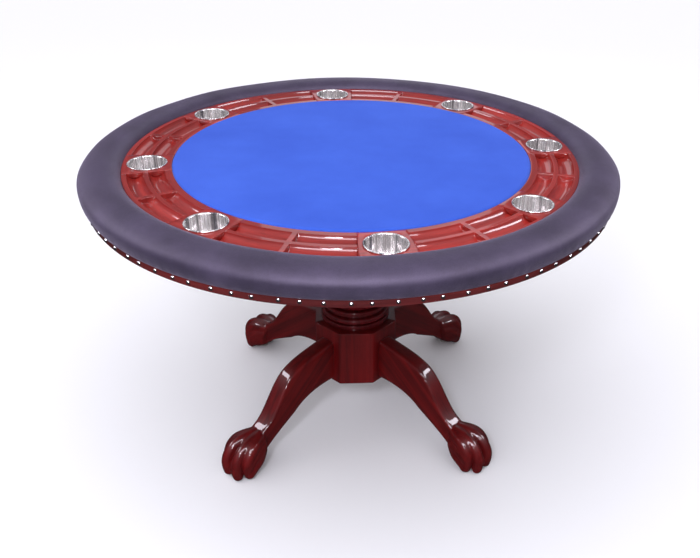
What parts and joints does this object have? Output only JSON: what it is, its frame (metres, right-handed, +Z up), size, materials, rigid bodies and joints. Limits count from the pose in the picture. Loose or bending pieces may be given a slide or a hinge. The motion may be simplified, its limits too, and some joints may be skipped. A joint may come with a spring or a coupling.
{
  "type": "round poker table",
  "caption": "Round poker table with a blue felt panel, a chip ring with lift-out steel cups, a padded vinyl rail and a turned pedestal on carved paw feet.",
  "frame": {"origin": "on the floor, under the middle of the pedestal's column", "axes": "+Z up; the legs stand on the diagonals between X and Y, and flat faces of the octagonal hub look along X and Y"},
  "size_m": [1.2699, 1.2699, 0.762],
  "materials": {
    "cherry": "gloss",
    "mahogany": "gloss",
    "board": "matte",
    "dowel_wood": "matte",
    "felt": "matte",
    "foam": "matte",
    "vinyl": "satin",
    "cup_steel": "polished",
    "nail_chrome": "polished",
    "fixings": "satin",
    "glide": "matte"
  },
  "bodies": {
    "table": {"deck": "board", "edge_band": "cherry", "nailheads": "nail_chrome", "riser_board": "board", "chip_tray_1": "cherry", "chip_tray_2": "cherry", "chip_tray_3": "cherry", "chip_tray_4": "cherry", "chip_tray_5": "cherry", "chip_tray_6": "cherry", "chip_tray_7": "cherry", "chip_tray_8": "cherry", "cup_block_1": "cherry", "cup_block_2": "cherry", "cup_block_3": "cherry", "cup_block_4": "cherry", "cup_block_5": "cherry", "cup_block_6": "cherry", "cup_block_7": "cherry", "cup_block_8": "cherry", "play_board": "board", "play_foam": "foam", "play_felt": "felt", "rail_core": "board", "rail_foam": "foam", "rail_cover": "vinyl", "rail_screws": "fixings", "panel_screws": "fixings", "ring_screws": "fixings", "top_plate": "board", "plate_screws": "fixings", "capital": "mahogany", "urn": "mahogany", "base_moulding": "mahogany", "tie_rod": "fixings", "rod_nuts": "fixings", "rod_washers": "fixings", "hub_block": "mahogany", "hub_cap": "mahogany", "cap_screws": "fixings", "leg_1": "mahogany", "leg_2": "mahogany", "leg_3": "mahogany", "leg_4": "mahogany", "hanger_bolts": "fixings", "leg_nuts": "fixings", "leg_washers": "fixings", "dowels": "dowel_wood", "glides": "glide"},
    "cup_1": {"cup_1": "cup_steel"},
    "cup_2": {"cup_2": "cup_steel"},
    "cup_3": {"cup_3": "cup_steel"},
    "cup_4": {"cup_4": "cup_steel"},
    "cup_5": {"cup_5": "cup_steel"},
    "cup_6": {"cup_6": "cup_steel"},
    "cup_7": {"cup_7": "cup_steel"},
    "cup_8": {"cup_8": "cup_steel"}
  },
  "joints": [
    {"name": "cup_1_lift", "type": "slide", "parent": "table", "child": "cup_1", "axis": [0, 0, 1], "range_m": [0, 0.07]},
    {"name": "cup_2_lift", "type": "slide", "parent": "table", "child": "cup_2", "axis": [0, 0, 1], "range_m": [0, 0.07]},
    {"name": "cup_3_lift", "type": "slide", "parent": "table", "child": "cup_3", "axis": [0, 0, 1], "range_m": [0, 0.07]},
    {"name": "cup_4_lift", "type": "slide", "parent": "table", "child": "cup_4", "axis": [0, 0, 1], "range_m": [0, 0.07]},
    {"name": "cup_5_lift", "type": "slide", "parent": "table", "child": "cup_5", "axis": [0, 0, 1], "range_m": [0, 0.07]},
    {"name": "cup_6_lift", "type": "slide", "parent": "table", "child": "cup_6", "axis": [0, 0, 1], "range_m": [0, 0.07]},
    {"name": "cup_7_lift", "type": "slide", "parent": "table", "child": "cup_7", "axis": [0, 0, 1], "range_m": [0, 0.07]},
    {"name": "cup_8_lift", "type": "slide", "parent": "table", "child": "cup_8", "axis": [0, 0, 1], "range_m": [0, 0.07]}
  ]
}
